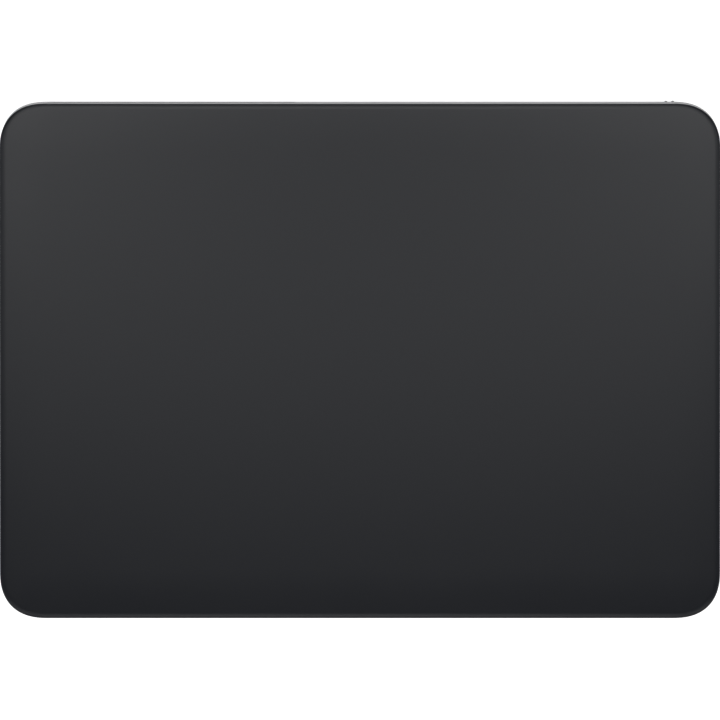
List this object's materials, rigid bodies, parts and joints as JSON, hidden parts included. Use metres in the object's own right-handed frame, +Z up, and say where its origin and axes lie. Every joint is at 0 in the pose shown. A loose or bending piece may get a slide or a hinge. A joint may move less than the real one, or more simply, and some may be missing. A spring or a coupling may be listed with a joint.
{
  "type": "trackpad",
  "caption": "Flat wedge-shaped desk trackpad: black glass touch plate on an aluminium body with force-sensing rubber feet, a rear charge socket and a slide power switch.",
  "frame": {"origin": "on the desk under the middle of the part, at the bottom faces of its feet", "axes": "+X to the user's right along the longest side, +Y from the user to the rear wall, +Z up"},
  "size_m": [0.16, 0.115, 0.0108],
  "materials": {
    "touch_glass": "matte etched black glass, printed opaque underneath",
    "body_aluminium": "bead-blasted and anodised silver aluminium",
    "knob_aluminium": "bead-blasted and anodised silver aluminium",
    "cover_plastic": "fine matte moulded polycarbonate",
    "window_plastic": "matte dark grey moulded plastic",
    "rubber": "matte grey silicone rubber",
    "steel": "plain rolled stainless steel",
    "spring_steel": "rolled spring steel",
    "weight_metal": "sintered heavy alloy",
    "magnet_plating": "nickel plated sintered magnet",
    "copper": "enamelled copper",
    "gold_contact": "gold plated spring contact",
    "circuit_board": "glass-fibre laminate with green solder mask",
    "chip_plastic": "matte black moulding compound",
    "connector_plastic": "ivory moulded connector plastic",
    "ribbon_film": "amber polyimide film",
    "cable_jacket": "black cable jacket",
    "pouch_foil": "embossed laminated pouch foil",
    "adhesive": "acrylic adhesive film"
  },
  "bodies": {
    "case": {"touch_glass": "touch_glass", "glass_adhesive": "adhesive", "sensor_board": "circuit_board", "touch_controller": "chip_plastic", "sensor_ribbon": "ribbon_film", "enclosure": "body_aluminium", "bottom_cover": "cover_plastic", "cover_tape": "adhesive", "antenna_window": "window_plastic", "antenna_carrier": "chip_plastic", "antenna_foil": "copper", "antenna_cable": "cable_jacket", "port_shell": "steel", "port_insert": "chip_plastic", "port_contacts": "gold_contact", "port_seal": "rubber", "main_board": "circuit_board", "microcontroller": "chip_plastic", "radio_chip": "chip_plastic", "charge_controller": "chip_plastic", "force_converter": "chip_plastic", "shield_can": "steel", "ribbon_connectors": "connector_plastic", "board_screws": "steel", "battery_pouch": "pouch_foil", "battery_board": "circuit_board", "battery_ribbon": "ribbon_film", "battery_tapes": "adhesive", "haptic_tray": "steel", "haptic_lid": "steel", "haptic_coils": "copper", "haptic_spring_left": "spring_steel", "haptic_spring_right": "spring_steel", "haptic_ribbon": "ribbon_film", "haptic_screws": "steel", "beam_front_left": "spring_steel", "beam_front_right": "spring_steel", "beam_rear_left": "spring_steel", "beam_rear_right": "spring_steel", "strain_gauges": "ribbon_film", "beam_screws": "steel", "foot_posts": "steel", "foot_front_left": "rubber", "foot_front_right": "rubber", "foot_rear_left": "rubber", "foot_rear_right": "rubber", "force_ribbon_left": "ribbon_film", "force_ribbon_right": "ribbon_film", "switch_housing": "steel", "switch_board": "circuit_board", "switch_ribbon": "ribbon_film", "switch_screws": "steel"},
    "power_switch": {"switch_knob": "knob_aluminium", "switch_lever": "chip_plastic"},
    "haptic_mover": {"haptic_weight": "weight_metal", "haptic_magnets": "magnet_plating"}
  },
  "joints": [
    {"name": "power_switch_slide", "type": "slide", "parent": "case", "child": "power_switch", "axis": [-1, 0, 0], "range_m": [0, 0.002]},
    {"name": "haptic_slide", "type": "slide", "parent": "case", "child": "haptic_mover", "axis": [1, 0, 0], "range_m": [-0.0004, 0.0004], "stiffness_N_per_m": 5000, "deforming": ["haptic_spring_left", "haptic_spring_right"]}
  ]
}
